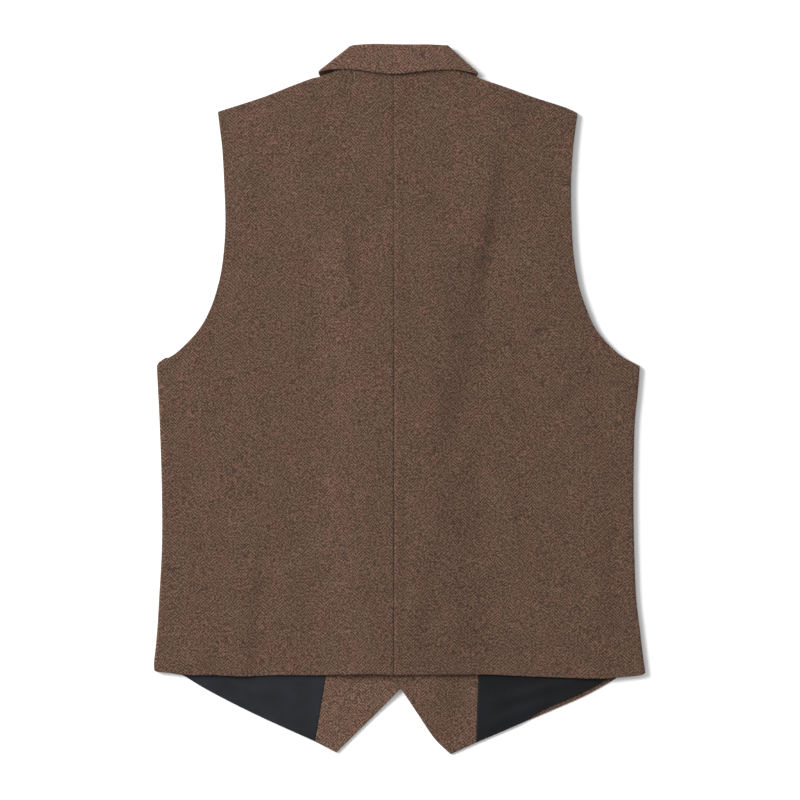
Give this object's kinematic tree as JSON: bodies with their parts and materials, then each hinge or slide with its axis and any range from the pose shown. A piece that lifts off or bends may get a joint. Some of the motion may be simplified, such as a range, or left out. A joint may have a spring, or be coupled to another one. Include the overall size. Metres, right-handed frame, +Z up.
{
  "type": "suit waistcoat",
  "caption": "Sleeveless tweed suit waistcoat laid flat face down: straight back hem, pointed lined fronts below it, deep armholes, folded notch collar and lapels, buttoned front",
  "frame": {"origin": "the middle of the base, on the surface that the waistcoat lies on", "axes": "+Z is up, away from the surface; +Y runs from the front points to the collar; the wearer's left is at -X, because the garment lies face down"},
  "size_m": [0.5008, 0.724, 0.0132],
  "materials": {
    "tweed": "brown wool herringbone tweed, matt and slightly hairy",
    "lining": "charcoal satin lining, smooth with a soft sheen",
    "button": "dark brown horn-effect resin, polished"
  },
  "bodies": {
    "root": {"back_left": "tweed", "back_right": "tweed", "front_left": "tweed", "front_right": "tweed", "facing_left": "tweed", "facing_right": "tweed", "lapel_left": "tweed", "lapel_right": "tweed", "collar": "tweed", "back_lining": "lining", "lining_left": "lining", "lining_right": "lining", "button_1": "button", "button_2": "button", "button_3": "button", "button_4": "button", "button_5": "button"}
  },
  "joints": []
}
